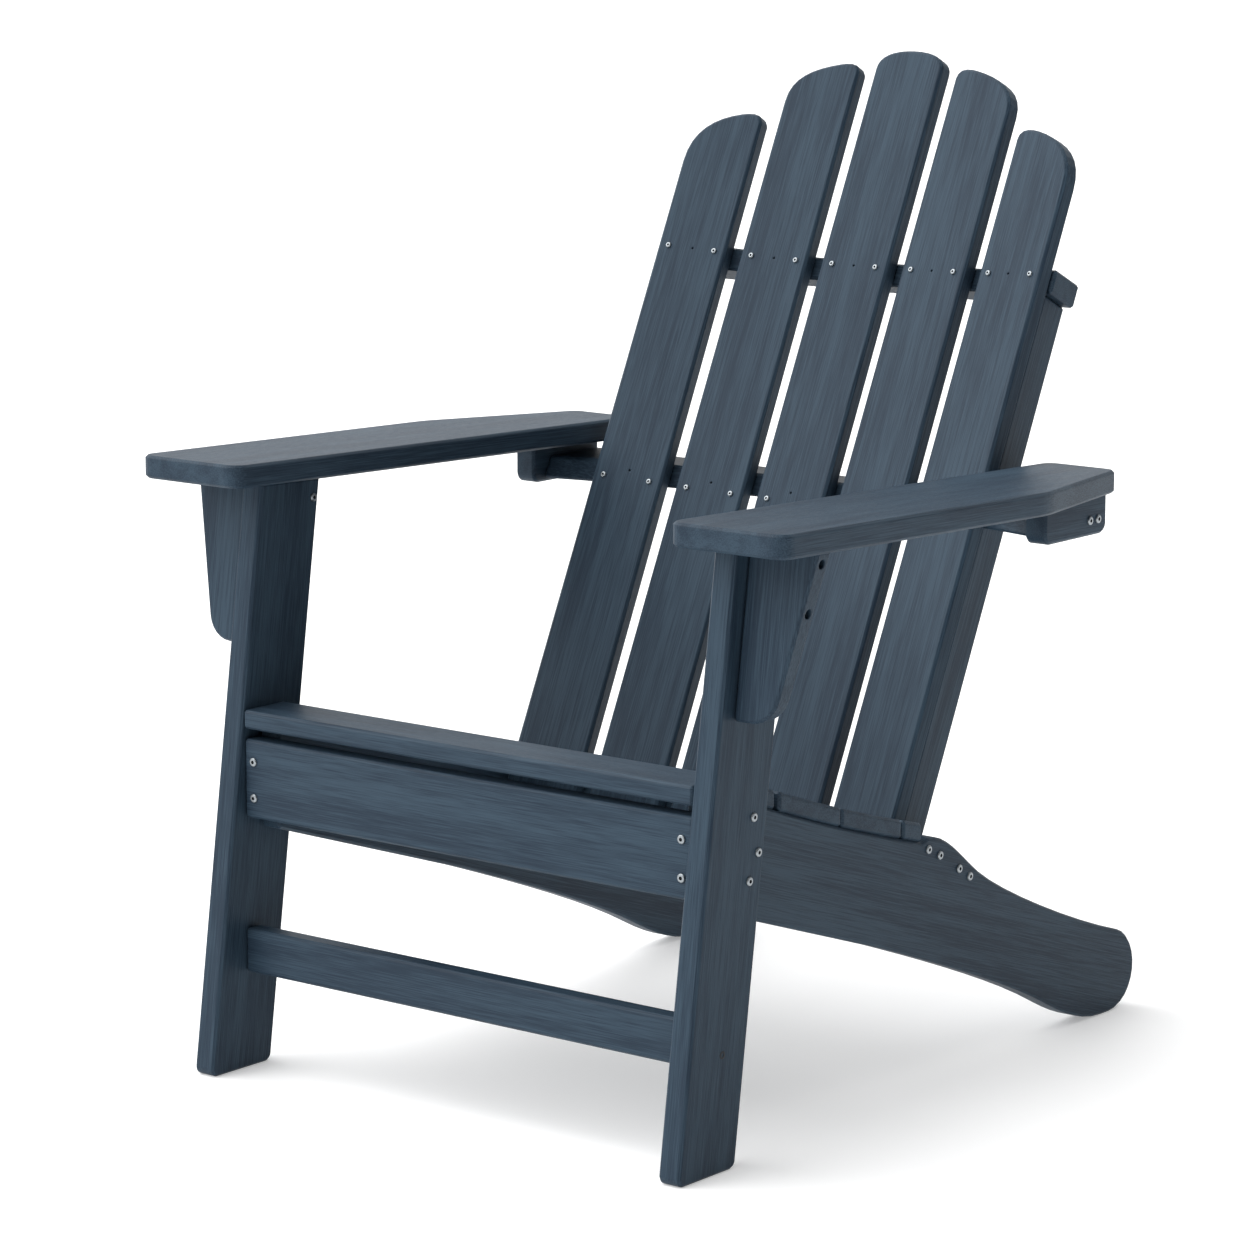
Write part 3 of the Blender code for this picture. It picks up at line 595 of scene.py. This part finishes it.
class CHAIR_OT_joint_screws(bpy.types.Operator):
    """Seat the screws that hold the lower stretcher and the cleats to the legs"""

    bl_idname = "chair.joint_screws"
    bl_label = "Leg Joint Screws"

    def execute(self, context):
        master = model_screw(screw_length(), context.scene.chair_screws.head_radius)
        height = context.scene.chair_screws.head_height
        stretcher_low, stretcher_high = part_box("lower_stretcher")
        middle = (stretcher_low + stretcher_high) / 2
        cleat_low, cleat_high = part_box("arm_cleat_right")
        for side, sign in SIDES:
            leg = "front_leg_" + side
            start = (
                sign * PROBE_REACH, middle.y + STRETCHER_SCREW_BACK, middle.z - STRETCHER_SCREW_DOWN)
            point, normal = face_hit(leg, start, (-sign, 0.0, 0.0))
            sunk = point - normal * height * STRETCHER_SCREW_SUNK_SHARE
            piece = seat_screw(master, "steel_stretcher_screw_" + side, sunk, normal)
            # The sunk stretcher screw is drawn wholly in the recess's painted shade, which stands for the
            # shadow it sits in.
            piece.data.materials[0] = bpy.data.materials["Recess painted shade"]
            start = (0.0, cleat_high.y - CLEAT_SCREW_INSET, (cleat_low.z + cleat_high.z) / 2)
            point, normal = face_hit(leg, start, (sign, 0.0, 0.0))
            seat_screw(master, "steel_cleat_screw_" + side, point, normal)
        drop_master(master)
        return {"FINISHED"}


class CHAIR_OT_stage(bpy.types.Operator):
    """Lay the pale floor, hang the soft overhead light and set up the camera"""

    bl_idname = "chair.stage"
    bl_label = "Studio"

    def execute(self, context):
        scene = context.scene
        studio = scene.chair_studio
        bpy.ops.object.select_all(action="DESELECT")
        bpy.ops.mesh.primitive_plane_add(size=studio.floor_size, location=(0.0, 0.0, 0.0))
        floor = context.object
        floor.name = "studio_floor"
        floor.data.materials.append(floor_material())
        bpy.ops.object.mode_set(mode="EDIT")
        bpy.ops.mesh.select_all(action="SELECT")
        bpy.ops.mesh.inset(thickness=studio.floor_size * FLOOR_RIM_SHARE)
        bpy.ops.mesh.subdivide(number_cuts=FLOOR_CUTS)
        bpy.ops.object.mode_set(mode="OBJECT")
        bpy.ops.object.transform_apply(location=True, rotation=True, scale=True)

        key_data = bpy.data.lights.new("Overhead softbox", "SUN")
        key_data.energy = studio.key_strength
        key_data.angle = studio.key_softness
        key = bpy.data.objects.new("Overhead softbox", key_data)
        key.rotation_euler = Vector(KEY_FROM).to_track_quat("Z", "Y").to_euler()
        context.collection.objects.link(key)

        # The room lights the chair from its bright side; seen directly, it is a plain white wall.
        world = bpy.data.worlds.new("White studio")
        scene.world = world
        world.use_nodes = True
        tree = world.node_tree
        tree.nodes.clear()
        rays = add_node(tree, "ShaderNodeLightPath")
        place = add_node(tree, "ShaderNodeTexCoord").outputs["Generated"]
        towards = add_node(
            tree, "ShaderNodeVectorMath", {"operation": "DOT_PRODUCT"},
            {1: Vector(ROOM_LIT_FROM).normalized()}, {0: place}).outputs["Value"]
        level = add_node(
            tree, "ShaderNodeMapRange", {"interpolation_type": "SMOOTHSTEP"},
            {"From Min": -ROOM_FADE, "From Max": ROOM_FADE,
             "To Min": studio.room_dim, "To Max": studio.room_bright},
            {"Value": towards}).outputs["Result"]
        room = add_node(
            tree, "ShaderNodeBackground", None, {"Color": WHITE}, {"Strength": level})
        wall = add_node(
            tree, "ShaderNodeBackground", None, {"Color": WHITE, "Strength": 1.0})
        both = add_node(
            tree, "ShaderNodeMixShader", None, None,
            {0: rays.outputs["Is Camera Ray"], 1: room.outputs[0], 2: wall.outputs[0]})
        add_node(tree, "ShaderNodeOutputWorld", None, None, {"Surface": both.outputs[0]})

        camera_data = bpy.data.cameras.new("Camera")
        camera_data.lens = studio.camera_lens
        camera_data.sensor_width = SENSOR_WIDTH_MM
        camera_data.clip_end = SEE_AS_FAR_AS
        camera = bpy.data.objects.new("Camera", camera_data)
        camera.location = studio.camera_place
        camera.rotation_euler = studio.camera_turn
        context.collection.objects.link(camera)
        scene.camera = camera
        scene.view_settings.view_transform = "Standard"
        return {"FINISHED"}


class CHAIR_PT_panel(bpy.types.Panel):
    """Sizes, colours and steps of the chair"""

    bl_idname = "CHAIR_PT_panel"
    bl_label = "Adirondack Chair"
    bl_space_type = "VIEW_3D"
    bl_region_type = "UI"
    bl_category = "Chair"

    def draw(self, context):
        layout = self.layout
        for name, group, title in GROUPS:
            box = layout.box()
            box.label(text=title)
            for size in group.__annotations__:
                box.prop(getattr(context.scene, name), size)
        for step in STEPS:
            layout.operator(step.bl_idname)


GROUPS = (
    ("chair_lumber", ChairLumber, "Lumber"),
    ("chair_screws", ChairScrews, "Screws"),
    ("chair_studio", ChairStudio, "Studio"),
)
STEPS = (
    CHAIR_OT_finish_boards,
    CHAIR_OT_make_steel,
    CHAIR_OT_frame_screws,
    CHAIR_OT_slat_screws,
    CHAIR_OT_joint_screws,
    CHAIR_OT_stage,
)


def register():
    for name, group, _ in GROUPS:
        bpy.utils.register_class(group)
        setattr(bpy.types.Scene, name, PointerProperty(type=group))
    for step in STEPS:
        bpy.utils.register_class(step)
    bpy.utils.register_class(CHAIR_PT_panel)


def unregister():
    bpy.utils.unregister_class(CHAIR_PT_panel)
    for step in reversed(STEPS):
        bpy.utils.unregister_class(step)
    for name, group, _ in reversed(GROUPS):
        delattr(bpy.types.Scene, name)
        bpy.utils.unregister_class(group)


def main():
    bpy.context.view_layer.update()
    register()
    for step in STEPS:
        family, name = step.bl_idname.split(".")
        getattr(getattr(bpy.ops, family), name)()


if __name__ == "__main__":
    main()
